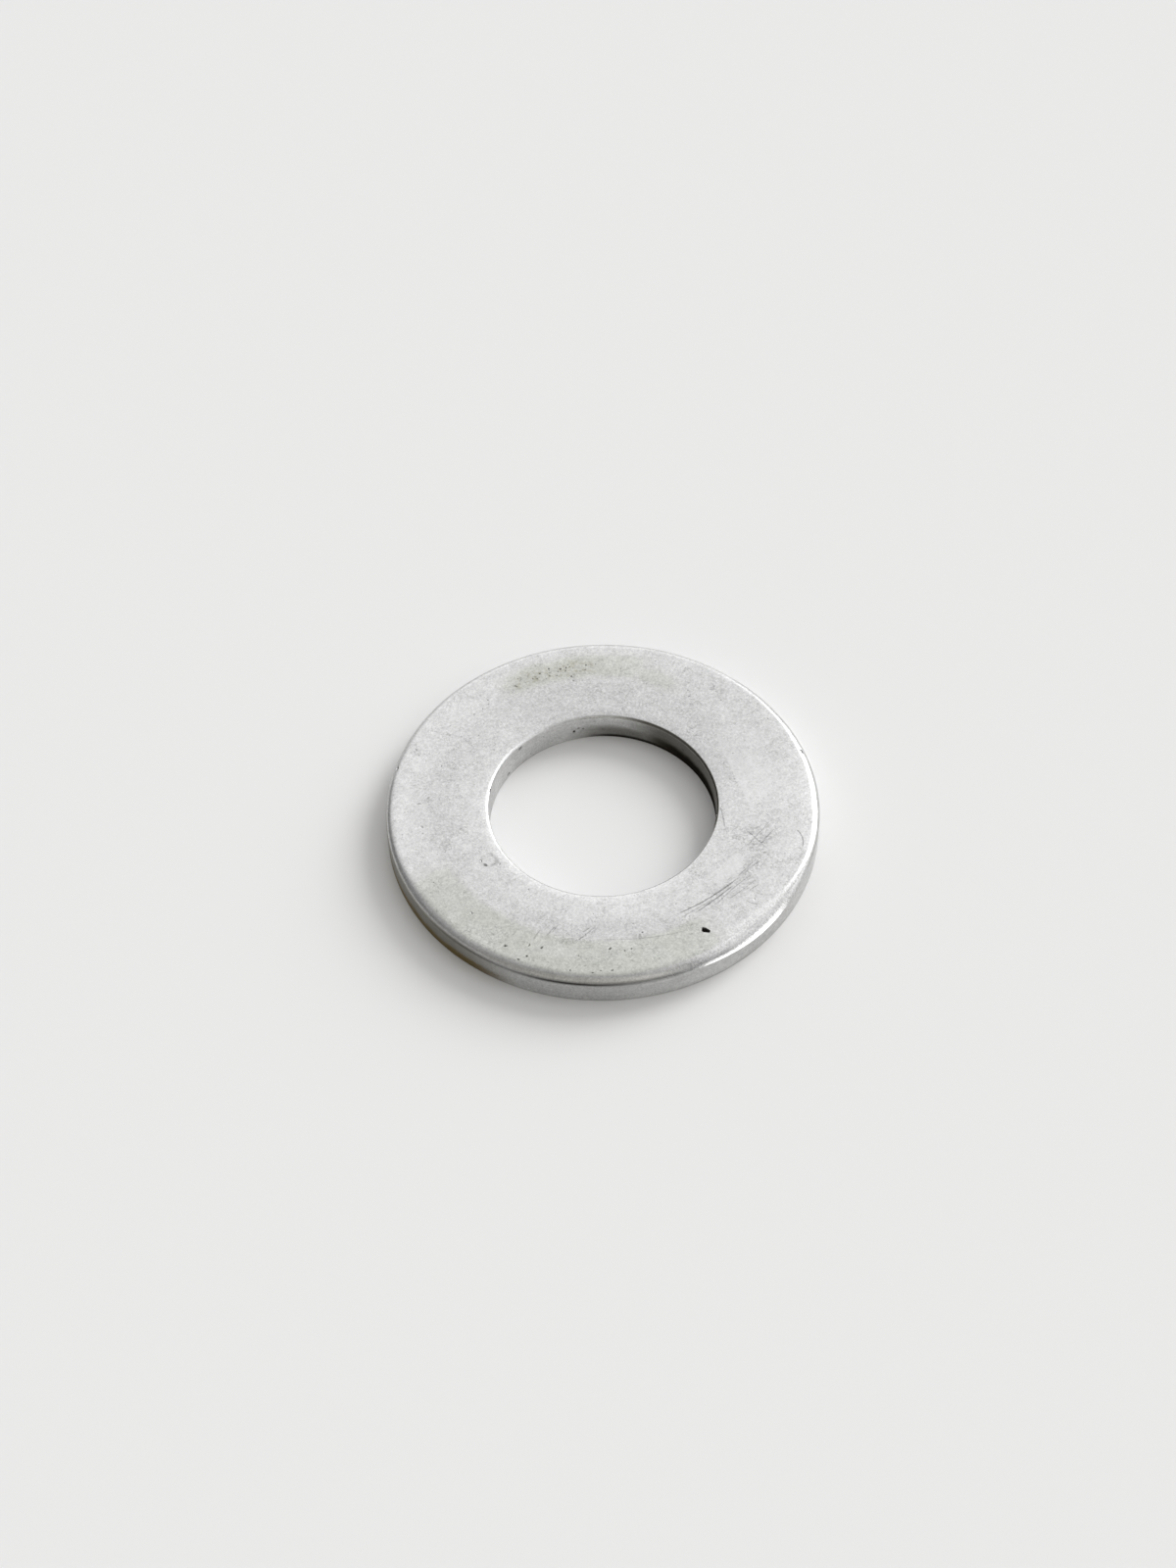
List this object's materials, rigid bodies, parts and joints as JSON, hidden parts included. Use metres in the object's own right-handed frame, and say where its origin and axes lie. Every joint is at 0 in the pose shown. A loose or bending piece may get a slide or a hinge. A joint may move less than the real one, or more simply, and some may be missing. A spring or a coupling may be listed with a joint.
{
  "type": "plain washer",
  "caption": "Plain flat round steel washer with a central bolt hole and rolled upper edges, used under a nut or bolt head to spread the clamping load.",
  "frame": {"origin": "centre of the bolt hole, on the lower face that the washer lies on", "axes": "+Z along the bolt hole, towards the face with the rolled edges; +X and +Y lie in the lower face"},
  "size_m": [0.02, 0.02, 0.0015],
  "materials": {
    "steel": "tumbled satin, lightly scuffed and pitted"
  },
  "bodies": {
    "root": {"washer": "steel"}
  },
  "joints": []
}
